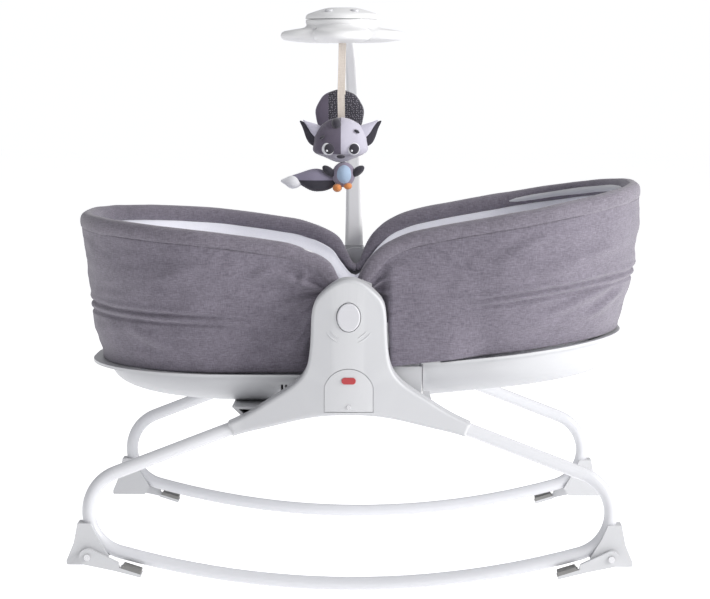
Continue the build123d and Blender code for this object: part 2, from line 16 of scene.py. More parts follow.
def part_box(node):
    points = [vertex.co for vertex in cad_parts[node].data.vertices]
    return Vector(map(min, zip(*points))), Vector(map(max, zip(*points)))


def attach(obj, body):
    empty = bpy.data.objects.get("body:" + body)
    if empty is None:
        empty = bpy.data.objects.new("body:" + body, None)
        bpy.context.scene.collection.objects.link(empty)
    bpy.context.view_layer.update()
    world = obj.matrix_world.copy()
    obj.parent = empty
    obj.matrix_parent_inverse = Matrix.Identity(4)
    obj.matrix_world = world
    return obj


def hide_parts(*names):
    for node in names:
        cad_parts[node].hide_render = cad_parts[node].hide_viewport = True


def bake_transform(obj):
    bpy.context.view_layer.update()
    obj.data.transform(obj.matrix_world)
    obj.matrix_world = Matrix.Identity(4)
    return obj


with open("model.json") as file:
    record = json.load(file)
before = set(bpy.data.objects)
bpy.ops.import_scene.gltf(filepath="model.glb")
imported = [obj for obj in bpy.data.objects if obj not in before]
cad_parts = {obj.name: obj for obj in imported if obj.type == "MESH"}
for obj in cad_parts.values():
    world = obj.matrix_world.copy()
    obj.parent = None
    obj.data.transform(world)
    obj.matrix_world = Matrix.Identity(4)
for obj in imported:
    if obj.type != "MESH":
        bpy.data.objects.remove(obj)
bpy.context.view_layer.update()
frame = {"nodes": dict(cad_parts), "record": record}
nodes = frame["nodes"]
MM = 0.001

# %% [markdown]
# ## Helpers for meshes
# Every soft piece here is a sheet or a tube laid out on a grid of points, because cloth is cut and
# sewn along two directions. One helper turns such a grid into a mesh, open or closed either way.


# %% Grid and curve helpers
def grid_mesh(name, rows, close_u=False, close_v=False, caps=False, smooth=True):
    """A mesh from rows of points. close_u joins the ends of a row, close_v the last row to the first."""
    count, width = len(rows), len(rows[0])
    verts = [tuple(p) for row in rows for p in row]
    faces = []
    for i in range(count if close_v else count - 1):
        for j in range(width if close_u else width - 1):
            a, b = i * width + j, i * width + (j + 1) % width
            c, d = ((i + 1) % count) * width + (j + 1) % width, ((i + 1) % count) * width + j
            faces.append((a, b, c, d))
    if caps:
        faces.append(tuple(reversed(range(width))))
        faces.append(tuple((count - 1) * width + j for j in range(width)))
    mesh = bpy.data.meshes.new(name)
    mesh.from_pydata(verts, [], faces)
    mesh.update()
    if smooth:
        mesh.polygons.foreach_set("use_smooth", [True] * len(mesh.polygons))
    piece = bpy.data.objects.new(name, mesh)
    bpy.context.scene.collection.objects.link(piece)
    return piece


def outward(piece):
    """Turns all faces the same way, outwards on a closed piece."""
    work = bmesh.new()
    work.from_mesh(piece.data)
    bmesh.ops.recalc_face_normals(work, faces=work.faces)
    work.to_mesh(piece.data)
    work.free()
    return piece


def catmull(points, steps=16):
    """A smooth line through the points."""
    p = [np.array(q, float) for q in points]
    p = [2 * p[0] - p[1]] + p + [2 * p[-1] - p[-2]]
    out = []
    for a, b, c, d in zip(p, p[1:], p[2:], p[3:]):
        for k in range(steps):
            t = k / steps
            bend, twist = 2 * a - 5 * b + 4 * c - d, 3 * b - a - 3 * c + d
            out.append(0.5 * (2 * b + (c - a) * t + bend * t**2 + twist * t**3))
    out.append(p[-2])
    return np.array(out)


def spaced(points, count):
    """The same line with this many evenly spaced points."""
    p = np.array(points, float)
    run = np.concatenate([[0], np.cumsum(np.linalg.norm(np.diff(p, axis=0), axis=1))])
    at = np.linspace(0, run[-1], count)
    return np.stack([np.interp(at, run, p[:, k]) for k in range(p.shape[1])], axis=1)


def ease(x, low, high):
    """0 below low, 1 above high, and smooth between."""
    t = min(1.0, max(0.0, (x - low) / (high - low)))
    return t * t * (3 - 2 * t)


def ripple(x, y, z, scale, seed=0.0):
    """Smooth noise from -1 to 1 with features of about this size in metres."""
    return noise.noise(Vector((x / scale + seed, y / scale + 2 * seed, z / scale - seed)))


def modifier(piece, kind, **values):
    """Adds one modifier with its settings."""
    m = piece.modifiers.new(kind.title(), kind)
    for key, value in values.items():
        setattr(m, key, value)
    return m


def apply_all(piece):
    """Puts the result of the modifiers into the mesh."""
    graph = bpy.context.evaluated_depsgraph_get()
    made = bpy.data.meshes.new_from_object(piece.evaluated_get(graph), depsgraph=graph)
    piece.modifiers.clear()
    piece.data = made
    return piece


# %% [markdown]
# ## Shader node groups
# The same effects come back in many materials: the heathered weave, the fine grain of a moulded or
# painted part, the soft knit. Each is built once as a group with named inputs, and each material sets
# its own values. A group puts out a colour, a roughness and a height; the shader stays in the material.


# %% Group builder
class Nodes:
    """A small hand for wiring nodes in one tree."""

    def __init__(self, tree):
        self.tree = tree

    def add(self, kind, **values):
        """A new node with its settings and the values of its input sockets."""
        node = self.tree.nodes.new(kind)
        for key, value in values.items():
            if hasattr(node, key):
                setattr(node, key, value)
            else:
                node.inputs[key].default_value = value
        return node

    def link(self, a, b):
        """A wire from the output a to the input b."""
        self.tree.links.new(a, b)

    def math(self, operation, a, b=0.0):
        """The result of one arithmetic operation on two numbers or sockets."""
        node = self.tree.nodes.new("ShaderNodeMath")
        node.operation = operation
        for socket, value in zip(node.inputs, (a, b)):
            if isinstance(value, (int, float)):
                socket.default_value = value
            else:
                self.link(value, socket)
        return node.outputs[0]

    def mix(self, factor, a, b):
        """A colour between a and b, which are colours or sockets."""
        node = self.tree.nodes.new("ShaderNodeMix")
        node.data_type = "RGBA"
        for socket, value in ((node.inputs[0], factor), (node.inputs[6], a), (node.inputs[7], b)):
            if isinstance(value, (int, float)):
                socket.default_value = value
            elif isinstance(value, (tuple, list)):
                socket.default_value = (*value[:3], 1.0)
            else:
                self.link(value, socket)
        return node.outputs[2]


def new_group(name, inputs, outputs):
    """An empty shader group with its sockets, and its input and output nodes."""
    tree = bpy.data.node_groups.new(name, "ShaderNodeTree")
    kinds = {"f": "NodeSocketFloat", "c": "NodeSocketColor"}
    for label, kind, value in inputs:
        socket = tree.interface.new_socket(label, in_out="INPUT", socket_type=kinds[kind])
        socket.default_value = value if kind == "f" else (*value, 1.0)
    for label, kind in outputs:
        tree.interface.new_socket(label, in_out="OUTPUT", socket_type=kinds[kind])
    return tree, tree.nodes.new("NodeGroupInput"), tree.nodes.new("NodeGroupOutput")


# %% [markdown]
# ### Heathered weave
# The bassinet's cloth is woven from mottled yarn, so light and dark flecks lie along both thread
# directions. Two noises stretched along the weft and the warp give the flecks, and a broad one shades
# them in clouds. The first two also drive a small height, so that the light catches the weave.

# %% Heathered weave group
weave_tree, g_in, g_out = new_group(
    "heathered_weave",
    [("Dark", "c", (0.12, 0.11, 0.14)), ("Light", "c", (0.3, 0.29, 0.34)),
     ("Threads", "f", 1300.0), ("Fleck", "f", 0.5)],
    [("Color", "c"), ("Roughness", "f"), ("Height", "f")],
)
weave = Nodes(weave_tree)
place = weave.add("ShaderNodeTexCoord").outputs["Object"]


def thread_noise(stretch, detail):
    """Noise drawn out along a thread: stretch divides the thread count along X, Y and Z."""
    mapping = weave.add("ShaderNodeMapping")
    weave.link(place, mapping.inputs["Vector"])
    combine = weave.add("ShaderNodeCombineXYZ")
    for k, share in enumerate(stretch):
        weave.link(weave.math("MULTIPLY", g_in.outputs["Threads"], share), combine.inputs[k])
    weave.link(combine.outputs[0], mapping.inputs["Scale"])
    texture = weave.add("ShaderNodeTexNoise", Scale=1.0, Detail=detail, Roughness=0.6)
    weave.link(mapping.outputs[0], texture.inputs["Vector"])
    return texture.outputs["Fac"]


weft = thread_noise((0.10, 0.10, 0.75), 2.0)
warp = thread_noise((0.75, 0.75, 0.10), 2.0)
cloud = thread_noise((0.02, 0.02, 0.02), 3.0)
both = weave.math("ADD", weave.math("MULTIPLY", weft, 0.55), weave.math("MULTIPLY", warp, 0.45))
ramp = weave.add("ShaderNodeMapRange", **{"From Min": 0.36, "From Max": 0.64})
weave.link(both, ramp.inputs["Value"])
flecks = weave.math("MULTIPLY", ramp.outputs[0], g_in.outputs["Fleck"])
shade = weave.math("ADD", flecks, weave.math("MULTIPLY", cloud, 0.35))
weave.link(weave.mix(shade, g_in.outputs["Dark"], g_in.outputs["Light"]), g_out.inputs["Color"])
weave.link(weave.math("ADD", weave.math("MULTIPLY", both, 0.15), 0.8), g_out.inputs["Roughness"])
weave.link(both, g_out.inputs["Height"])

# %% [markdown]
# ### Moulded plastic
# Injection-moulded covers are almost one colour. A faint cloud keeps them from looking like paper,
# a very fine grain breaks the highlight, and the edges carry slightly more polish from handling,
# with a painted highlight that lifts their colour a little towards white.

# %% Moulded plastic group
mould_tree, g_in, g_out = new_group(
    "moulded_plastic",
    [("Base", "c", (0.8, 0.8, 0.82)), ("Grain", "f", 1400.0), ("Polish", "f", 0.4)],
    [("Color", "c"), ("Roughness", "f"), ("Height", "f")],
)
mould = Nodes(mould_tree)
place = mould.add("ShaderNodeTexCoord").outputs["Object"]
cloud = mould.add("ShaderNodeTexNoise", Scale=14.0, Detail=3.0)
grain = mould.add("ShaderNodeTexNoise", Detail=2.0)
mould.link(place, cloud.inputs["Vector"])
mould.link(place, grain.inputs["Vector"])
mould.link(g_in.outputs["Grain"], grain.inputs["Scale"])
# Sharp edges: less rough from wear, and a painted highlight lightens their colour.
wear_and_edge_highlight = mould.add("ShaderNodeMapRange", **{"From Min": 0.5, "From Max": 0.56})
mould.link(mould.add("ShaderNodeNewGeometry").outputs["Pointiness"], wear_and_edge_highlight.inputs["Value"])
haze = mould.math("MULTIPLY", cloud.outputs["Fac"], 0.10)
dull = mould.mix(haze, g_in.outputs["Base"], (0.62, 0.62, 0.63))
# Painted highlight: the colour of the edges is mixed a little towards white.
painted_edge_highlight = mould.math("MULTIPLY", wear_and_edge_highlight.outputs[0], 0.12)
mould.link(mould.mix(painted_edge_highlight, dull, (0.95, 0.95, 0.95)), g_out.inputs["Color"])
rough = mould.math("ADD", g_in.outputs["Polish"], mould.math("MULTIPLY", cloud.outputs["Fac"], 0.08))
shine = mould.math("MULTIPLY", wear_and_edge_highlight.outputs[0], 0.08)
mould.link(mould.math("SUBTRACT", rough, shine), g_out.inputs["Roughness"])
mould.link(grain.outputs["Fac"], g_out.inputs["Height"])

# %% [markdown]
# ### Knit and plush
# The liner and the toys are soft knits. A small cell pattern stands for the stitches and a broad
# noise for the way the wadding lifts the cloth. Both darken the colour towards Shadow: painted shade
# between the stitches and in broad patches over the wadding.

# %% Soft knit group
knit_tree, g_in, g_out = new_group(
    "soft_knit",
    [("Base", "c", (0.85, 0.85, 0.9)), ("Shadow", "c", (0.7, 0.7, 0.78)), ("Stitches", "f", 700.0)],
    [("Color", "c"), ("Roughness", "f"), ("Height", "f")],
)
knit = Nodes(knit_tree)
place = knit.add("ShaderNodeTexCoord").outputs["Object"]
cells = knit.add("ShaderNodeTexVoronoi")
knit.link(place, cells.inputs["Vector"])
knit.link(g_in.outputs["Stitches"], cells.inputs["Scale"])
lift = knit.add("ShaderNodeTexNoise", Scale=35.0, Detail=4.0)
knit.link(place, lift.inputs["Vector"])
# Painted shade: darker towards Shadow away from each stitch's middle, and where the broad noise is high.
stitch_shade = knit.math("MULTIPLY", cells.outputs["Distance"], 0.35)
painted_knit_shade = knit.math("ADD", stitch_shade, knit.math("MULTIPLY", lift.outputs["Fac"], 0.25))
knit.link(knit.mix(painted_knit_shade, g_in.outputs["Base"], g_in.outputs["Shadow"]), g_out.inputs["Color"])
knit.link(knit.math("ADD", knit.math("MULTIPLY", lift.outputs["Fac"], 0.1), 0.82), g_out.inputs["Roughness"])
knit.link(knit.math("SUBTRACT", 1.0, cells.outputs["Distance"]), g_out.inputs["Height"])
print("groups:", [g.name for g in bpy.data.node_groups])

# %% [markdown]
# ## Materials
# Each finish of the rocker is one material: a group with this finish's own values, a Bump node for
# its relief, and a Principled shader whose constant values are typed straight into its sockets.


# %% Material builder
def finish(name, group, values, bump, distance, **shader):
    """A material from one of the groups. shader holds constant values of the Principled sockets."""
    material = bpy.data.materials.new(name)
    material.use_nodes = True
    tree = material.node_tree
    n = Nodes(tree)
    principled = tree.nodes["Principled BSDF"]
    source = n.add("ShaderNodeGroup")
    source.node_tree = group
    for key, value in values.items():
        source.inputs[key].default_value = (*value, 1.0) if isinstance(value, tuple) else value
    relief = n.add("ShaderNodeBump", Strength=bump, Distance=distance)
    n.link(source.outputs["Height"], relief.inputs["Height"])
    n.link(relief.outputs["Normal"], principled.inputs["Normal"])
    n.link(source.outputs["Color"], principled.inputs["Base Color"])
    n.link(source.outputs["Roughness"], principled.inputs["Roughness"])
    for key, value in shader.items():
        principled.inputs[key.replace("_", " ")].default_value = value
    return material


def woven(name, dark, light, threads=1350.0, fleck=0.55, sheen=0.25):
    """Cloth of mottled yarn. A larger number of threads makes it finer."""
    values = {"Dark": dark, "Light": light, "Threads": threads, "Fleck": fleck}
    return finish(name, weave_tree, values, 0.5, 0.0012, Sheen_Weight=sheen, Sheen_Roughness=0.6)


def moulded(name, base, polish=0.4, grain=1400.0, coat=0.0, metal=0.0):
    """A hard surface: moulded plastic, paint or plain steel."""
    return finish(name, mould_tree, {"Base": base, "Polish": polish, "Grain": grain}, 0.12, 0.0003,
                  Coat_Weight=coat, Metallic=metal)


def knitted(name, base, shadow, stitches=700.0, sheen=0.3):
    """Jersey or plush."""
    return finish(name, knit_tree, {"Base": base, "Shadow": shadow, "Stitches": stitches}, 0.35, 0.0008,
                  Sheen_Weight=sheen, Sheen_Roughness=0.5)


# %% [markdown]
# The trays and towers are pale grey moulded plastic, the rails are painted steel, the cloth is a grey
# melange, and the liner is white jersey. Each part of the engineering model gets the finish of its slot.

# %% The rocker's finishes
MELANGE = woven("melange_cloth", (0.070, 0.060, 0.084), (0.265, 0.240, 0.295))
HEM = woven("hem_cloth", (0.075, 0.065, 0.088), (0.27, 0.245, 0.295))
LINER = knitted("liner_jersey", (0.86, 0.86, 0.91), (0.70, 0.70, 0.80))
SHELL = moulded("shell_plastic", (0.51, 0.515, 0.535))
ENAMEL = moulded("enamel_steel", (0.63, 0.635, 0.665), polish=0.28, grain=900.0, coat=0.3)
ARM = moulded("arm_plastic", (0.82, 0.82, 0.825), polish=0.38)
BUTTON = moulded("button_plastic", (0.57, 0.57, 0.60), polish=0.32)
INNER = moulded("inner_plastic", (0.20, 0.20, 0.22), polish=0.5)
BADGE = moulded("badge_plastic", (0.40, 0.004, 0.010), polish=0.45)
STEEL = moulded("plain_steel", (0.58, 0.58, 0.60), polish=0.3, grain=2200.0, metal=1.0)
RUBBER = moulded("sole_rubber", (0.075, 0.072, 0.066), polish=0.72, grain=2600.0)
CELLS = moulded("cell_sleeve", (0.06, 0.16, 0.13), polish=0.3)
WEBBING = woven("webbing", (0.34, 0.33, 0.36), (0.62, 0.61, 0.64), threads=1300.0, fleck=0.5)
RIBBON = woven("ribbon", (0.55, 0.48, 0.42), (0.80, 0.74, 0.68), threads=1500.0, fleck=0.4)
SLOT_FINISH = {
    "enamel_steel": ENAMEL, "bare_steel": STEEL, "shell_plastic": SHELL, "arm_plastic": ARM,
    "button_plastic": BUTTON, "inner_plastic": INNER, "badge_plastic": BADGE, "melange_cloth": MELANGE,
    "liner_cloth": LINER, "webbing": WEBBING, "ribbon": RIBBON, "toy_plush": MELANGE, "toy_print": HEM,
    "sole_rubber": RUBBER, "cell_sleeve": CELLS,
}
for part in frame["record"]["subparts"]:
    mesh = nodes[part["node"]].data
    mesh.materials.clear()
    mesh.materials.append(SLOT_FINISH[part["material_slot"]])
print("materials:", len(bpy.data.materials))

# %% [markdown]
# ## The line of the rim
# Each half of the bassinet hangs on a bent tube in a padded cloth sleeve. Seen from above the tube
# is a long U; seen from the side it climbs steeply out of the tower and then gently to its end.
# One function gives the U, one gives the height along it, and everything sewn follows these two.

# %% Rim and wall lines
FOOT = {
    "name": "foot", "sign": -1,
    "rim": [(0, 393), (10, 397), (24, 415), (40, 435), (79, 452),
            (119, 459.5), (199, 470), (279, 477), (382, 484)],
    "rim_end": 0.3760, "hem_end": 0.3560, "rim_half": 0.2290, "hem_half": 0.2160, "corner": 0.205,
    "hem": [(0, 289), (400, 289)],
    "belly": 0.0035,
}
HEAD = {
    "name": "head", "sign": 1,
    "rim": [(0, 393), (10, 400), (24, 424), (40, 443), (60, 458),
            (94, 471), (160, 484), (240, 498), (306, 510), (400, 527)],
    "rim_end": 0.3960, "hem_end": 0.3760, "rim_half": 0.2290, "hem_half": 0.2160, "corner": 0.205,
    "hem": [(0, 300), (60, 301), (97, 306), (400, 336)],
    "belly": 0.0075,
}
WAIST, WAIST_REACH = 0.010, 0.30
ACROSS = 300


def waist_at(x):
    """How much narrower the U is at this distance from the tower."""
    return WAIST * (1 - ease(x, 0.0, WAIST_REACH))


def plan_line(end, half, corner, count=ACROSS):
    """The U seen from above, from the near tower round the end to the far tower, evenly spaced."""
    points = []
    straight = end - corner
    for x in np.linspace(0, straight, 40):
        points.append((x, -(half - waist_at(x))))
    for a in np.linspace(0, math.pi / 2, 24)[1:]:
        x = straight + corner * math.sin(a)
        points.append((x, -(half - waist_at(x) - corner) - corner * math.cos(a)))
    points += [(x, -y) for x, y in reversed(points)]
    return spaced(points, count)


def height_at(line, x):
    """Height of a side line at this distance from the tower, in metres."""
    return float(np.interp(x, line[:, 0], line[:, 1]))


for half in (FOOT, HEAD):
    half["rim"] = catmull(half["rim"]) * MM
    half["hem"] = np.array(half["hem"]) * MM
    plan = plan_line(half["rim_end"], half["rim_half"], half["corner"])
    low = plan_line(half["hem_end"], half["hem_half"], half["corner"])
    half["top"] = [Vector((half["sign"] * x, y, height_at(half["rim"], x))) for x, y in plan]
    half["low"] = [Vector((half["sign"] * x, y, height_at(half["hem"], x))) for x, y in low]
print("rim ends:", [round(half["top"][ACROSS // 2].x, 3) for half in (FOOT, HEAD)])


def normals_of(line, sign):
    """Horizontal directions that point out of the bassinet along a line."""
    out = []
    for i in range(len(line)):
        along = line[min(i + 1, len(line) - 1)] - line[max(i - 1, 0)]
        flat = Vector((along.y, -along.x, 0)).normalized() * sign
        out.append(flat)
    return out


# %% [markdown]
# ## The padded rim
# A foam tube and a cloth band are sewn round the steel hoop. The band is taller than it is wide, it
# narrows where it dips past the tower, and hand sewing leaves it slightly uneven.

# %% Rim sleeves
BAND_TALL, BAND_WIDE = 0.0125, 0.0105
BAND_POINTS, SQUARENESS, UNEVEN = 28, 0.85, 0.05


def rim_sleeve(half):
    """The padded band round one hoop, as a closed tube."""
    line, sign = half["top"], half["sign"]
    outs = normals_of(line, sign)
    rows = []
    for i, p in enumerate(line):
        along = (line[min(i + 1, len(line) - 1)] - line[max(i - 1, 0)]).normalized()
        up = outs[i].cross(along).normalized()
        up = up if up.z > 0 or abs(up.z) < 1e-6 else -up
        slim = 0.5 + 0.5 * ease(abs(p.x), 0.004, 0.036)
        broad = 0.85 + 0.15 * ease(abs(p.x), 0.0, 0.04)
        ring = []
        for j in range(BAND_POINTS):
            a = 2 * math.pi * j / BAND_POINTS
            c, s = math.cos(a), math.sin(a)
            wide = BAND_WIDE * math.copysign(abs(c) ** SQUARENESS, c)
            tall = BAND_TALL * slim * math.copysign(abs(s) ** SQUARENESS, s)
            uneven = 1 + UNEVEN * ripple(p.x, p.y, p.z + j * 0.002, 0.035, 3.1)
            ring.append(p + outs[i] * wide * broad * uneven + up * tall * uneven)
        rows.append(ring)
    piece = outward(grid_mesh(f"rim_sleeve_{half['name']}", rows, close_u=True, caps=True))
    piece.data.materials.append(HEM)
    return piece


sleeves = {}
for half in (FOOT, HEAD):
    piece = rim_sleeve(half)
    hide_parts(f"{half['name']}_rim_sleeve")
    sleeves[half["name"]] = piece
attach(sleeves["foot"], "base")
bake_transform(sleeves["head"])
print("sleeves:", [len(s.data.vertices) for s in sleeves.values()])

# %% [markdown]
# ## The outer cloth
# One panel of heathered cloth runs from the sleeve down to the tray on each half. It is sewn to the
# sleeve, pulled over the tray's rim with a hem, crossed by two rows of stitching half way down, and
# gathered where it passes behind the tower, so it folds there and lies nearly smooth at the ends.

# %% Outer cloth
DOWN = 90
# Creases the cloth holds, alike on the near and the far side: from (x, z) to (x, z), width, height
CREASES = [
    ((-0.067, 0.450), (-0.139, 0.415), 0.007, 0.0032), ((-0.056, 0.440), (-0.067, 0.400), 0.005, 0.0030),
    ((-0.190, 0.440), (-0.285, 0.405), 0.009, 0.0016), ((-0.300, 0.345), (-0.240, 0.320), 0.008, 0.0018),
    ((0.058, 0.352), (0.112, 0.306), 0.006, 0.0045), ((0.075, 0.440), (0.086, 0.405), 0.008, 0.0030),
    ((0.360, 0.405), (0.262, 0.366), 0.007, 0.0030), ((0.368, 0.392), (0.325, 0.362), 0.006, 0.0028),
    ((0.268, 0.486), (0.205, 0.443), 0.010, 0.0024), ((0.120, 0.470), (0.150, 0.430), 0.010, 0.0018),
    ((0.345, 0.455), (0.270, 0.430), 0.009, 0.0020),
]
CREASE_STRENGTH = 1.35
GATHER_FOLD, GATHER_PLEAT = 0.0042, 0.0016
LONG_WAVE, SHORT_WAVE = 0.0044, 0.0019
SEAM_DEPTH, SEAM_WANDER = 0.0040, 0.012
CLOTH_THICK, CLOTH_FALL = 0.0016, 0.20
# The head cloth stands out at least this far from the middle, to cover the hinge plates
PLATE_COVER = 0.2332
# Heights of the stitched rows, as shares of the way from the sleeve to the hem
SEAMS = {"foot": (0.555, 0.620), "head": (0.535, 0.595)}


def crease_height(x, z):
    """The sum of the held creases at one place: a ridge with a shallow valley on each side."""
    out = 0.0
    for (ax, az), (bx, bz), width, height in CREASES:
        dx, dz = bx - ax, bz - az
        t = ((x - ax) * dx + (z - az) * dz) / (dx * dx + dz * dz)
        if -0.3 < t < 1.3:
            side = ((x - ax) * dz - (z - az) * dx) / math.hypot(dx, dz) / width
            fade = ease(t, -0.3, 0.25) * (1 - ease(t, 0.6, 1.3))
            ridge = math.exp(-side * side) - 0.45 * math.exp(-((side - 1.6) ** 2))
            out += CREASE_STRENGTH * height * fade * ridge
    return out


def fold_pattern(half, x, y, z, v):
    """How far the cloth stands out of its smooth shape, in metres. v runs from the sleeve to the hem."""
    far = abs(x)
    gather = 1 - ease(far, 0.05, 0.19)
    angle = math.atan2(z - 0.40, max(far - 0.02, 0.004))
    side_seed = 0.0 if y < 0 else 5.0
    fold_turn = angle * 11 + 2.2 * ripple(x, 0, z, 0.09, side_seed) + half["sign"] * 0.8
    pleat_turn = angle * 23 + 1.3 + 3 * ripple(x, 0, z, 0.05, side_seed + 2)
    folds = (math.sin(fold_turn) * GATHER_FOLD + math.sin(pleat_turn) * GATHER_PLEAT) * gather
    long_wave = ripple(x * 0.55, y * 0.55, z * 2.1, 0.085, 1.7) * LONG_WAVE
    short_wave = ripple(x * 0.8, y * 0.8, z * 2.6, 0.036, 4.2) * SHORT_WAVE
    calm = 1 - 0.85 * ease(v, 0.84, 1.0) - 0.6 * (1 - ease(v, 0.0, 0.1))
    out = folds * ease(v, 0.02, 0.25) * (1 - ease(v, 0.75, 1.0)) + (long_wave + short_wave) * calm
    depth = SEAM_DEPTH * ease(far, 0.08, 0.24)
    wander = SEAM_WANDER * ripple(x, y, 0, 0.2, 7.0)
    for seam in SEAMS[half["name"]]:
        out -= depth * math.exp(-(((v - seam - wander) / 0.013) ** 2))
        out += 0.5 * depth * math.exp(-(((v - seam - wander + 0.035) / 0.022) ** 2))
    return out + crease_height(x, z) * ease(v, 0.03, 0.15)


def cloth_wall(half):
    """The cloth of one half as a single surface; it gets its thickness afterwards."""
    top, low, sign = half["top"], half["low"], half["sign"]
    outs_top, outs_low = normals_of(top, sign), normals_of(low, sign)
    rows = []
    for j in range(DOWN + 1):
        v = j / DOWN
        row = []
        for i in range(ACROSS):
            a = top[i] + outs_top[i] * 0.0086 + Vector((0, 0, -0.0085))
            b = low[i] + outs_low[i] * 0.0015
            p = a.lerp(b, v)
            out = outs_top[i].lerp(outs_low[i], v).normalized()
            belly = half["belly"] * math.sin(math.pi * min(1.0, v * 1.05)) * ease(abs(p.x), 0.06, 0.14)
            p = p + out * (belly + fold_pattern(half, p.x, p.y, p.z, v))
            if sign > 0:
                over = ease(p.x, 0.044, 0.056) * (1 - ease(p.x, 0.125, 0.19)) * ease(v, 0.0, 0.12)
                p.y += math.copysign(max(0.0, PLATE_COVER - abs(p.y)) * over, p.y)
            row.append(p)
        rows.append(row)
    piece = grid_mesh(f"outer_cloth_{half['name']}", rows)
    piece.data.materials.append(MELANGE)
    return piece


walls = {}
for half in (FOOT, HEAD):
    piece = outward(cloth_wall(half))
    modifier(piece, "SOLIDIFY", thickness=CLOTH_THICK, offset=-1.0)
    apply_all(piece)
    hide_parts(f"{half['name']}_cloth")
    walls[half["name"]] = piece
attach(walls["foot"], "base")
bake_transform(walls["head"])

# %% [markdown]
# ## The white liner
# Inside hangs a padded jersey liner. It starts under the sleeve, stands a little way inside the cloth,
# and runs down on to the cushions. Rows of stitching pull the wadding in.

# %% Liner
LINER_GAP, LINER_THICK, LINER_FALL = 0.006, 0.003, 0.19
LINER_PUFF, LINER_ROWS, LINER_DOWN = 0.005, 3, 60


def liner_wall(half):
    """The padded inside of one half, from the rim down to the cushion."""
    top, low, sign = half["top"], half["low"], half["sign"]
    outs_top, outs_low = normals_of(top, sign), normals_of(low, sign)
    rows = []
    for j in range(LINER_DOWN + 1):
        v = j / LINER_DOWN
        row = []
        for i in range(ACROSS):
            near_root = 1 - ease(abs(top[i].x), 0.02, 0.08)
            a = top[i] - outs_top[i] * (0.0050 + 0.0070 * near_root) + Vector((0, 0, -0.0105))
            b = low[i] - outs_low[i] * 0.022 + Vector((0, 0, 0.010))
            p = a.lerp(b, v)
            puff = LINER_PUFF * abs(math.sin(math.pi * v * LINER_ROWS)) ** 0.6
            puff += 0.002 * ripple(p.x, p.y, p.z, 0.05, 8.0)
            inward = outs_top[i].lerp(outs_low[i], v).normalized()
            p = p - inward * (LINER_GAP * ease(v, 0.04, 0.25) + puff * ease(v, 0.06, 0.2))
            row.append(p)
        rows.append(row)
    piece = grid_mesh(f"liner_{half['name']}", rows)
    piece.data.materials.append(LINER)
    return piece


liners = {}
for half in (FOOT, HEAD):
    piece = outward(liner_wall(half))
    modifier(piece, "SOLIDIFY", thickness=LINER_THICK, offset=0.0)
    apply_all(piece)
    liners[half["name"]] = piece
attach(liners["foot"], "base")
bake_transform(liners["head"])

# %% [markdown]
# ## The cushions
# Seat and back are foam pads in jersey covers. Each starts as a rounded slab a little smaller than
# its place, is remeshed, blown up by a short cloth simulation so that it crowns like a stuffed pad,
# and is then quilted with sewn channels, which a remesh would have erased.

# %% Cushion helpers
SIM_FRAMES, PRESSURE = 20, 4.0
VOXEL, MOST_PUFF = 0.006, 0.008
PAD_MARGIN = Vector((0.006, 0.006, 0.004))
CHANNEL_DEPTH = 0.0045


def slab(name, low, high, corners, steps=10):
    """A rounded slab between two corners of a box, with corner radii for its low and high end in X."""
    work = bmesh.new()
    cx, cy = (low.x + high.x) / 2, (low.y + high.y) / 2
    ring = []
    for quarter, (sx, sy) in enumerate(((1, 1), (-1, 1), (-1, -1), (1, -1))):
        corner = corners[1] if sx > 0 else corners[0]
        hx, hy = (high.x - low.x) / 2 - corner, (high.y - low.y) / 2 - corner
        for s in range(steps + 1):
            a = math.pi / 2 * (quarter + s / steps)
            ring.append((cx + sx * hx + corner * math.cos(a), cy + sy * hy + corner * math.sin(a)))
    bottom = [work.verts.new((x, y, low.z)) for x, y in ring]
    upper = [work.verts.new((x, y, high.z)) for x, y in ring]
    work.faces.new(list(reversed(bottom)))
    work.faces.new(upper)
    for i in range(len(ring)):
        j = (i + 1) % len(ring)
        work.faces.new((bottom[i], bottom[j], upper[j], upper[i]))
    mesh = bpy.data.meshes.new(name)
    work.to_mesh(mesh)
    work.free()
    piece = bpy.data.objects.new(name, mesh)
    bpy.context.scene.collection.objects.link(piece)
    return piece


def puff_up(piece):
    """Remeshes a slab and inflates it like a stuffed cover; no point moves further than MOST_PUFF."""
    modifier(piece, "REMESH", mode="VOXEL", voxel_size=VOXEL, use_smooth_shade=True)
    apply_all(piece)
    before = np.array([v.co for v in piece.data.vertices])
    cloth = piece.modifiers.new("Cloth", "CLOTH")
    cloth.settings.use_pressure = True
    cloth.settings.uniform_pressure_force = PRESSURE
    cloth.settings.effector_weights.gravity = 0.0
    cloth.settings.quality = 4
    cloth.point_cache.frame_start, cloth.point_cache.frame_end = 1, SIM_FRAMES
    for step in range(1, SIM_FRAMES + 1):
        bpy.context.scene.frame_set(step)
    apply_all(piece)
    after = np.array([v.co for v in piece.data.vertices])
    move = after - before
    size = np.linalg.norm(move, axis=1, keepdims=True)
    after = before + move * np.minimum(1.0, MOST_PUFF / np.maximum(size, 1e-9))
    piece.data.vertices.foreach_set("co", after.ravel())
    piece.data.update()
    bpy.context.scene.frame_set(1)


def quilt(piece, low, high, spacing):
    """Sews straight channels across the top of a pad."""
    top = max(v.co.z for v in piece.data.vertices)
    for v in piece.data.vertices:
        lift = ease(v.co.z, low.z + 0.4 * (high.z - low.z), top)
        phase = math.cos(2 * math.pi * (v.co.x - low.x) / spacing)
        v.co.z -= CHANNEL_DEPTH * lift * max(0.0, phase) ** 8
        v.co.z -= 0.0012 * lift * (0.5 + 0.5 * ripple(v.co.x, v.co.y, 0, 0.03, 5.5))


# %% [markdown]
# The back pad lies on a slope, so it is made level and sheared up to its slope afterwards. Its corners
# are round at the head end and nearly square at the seam, where it meets the seat.

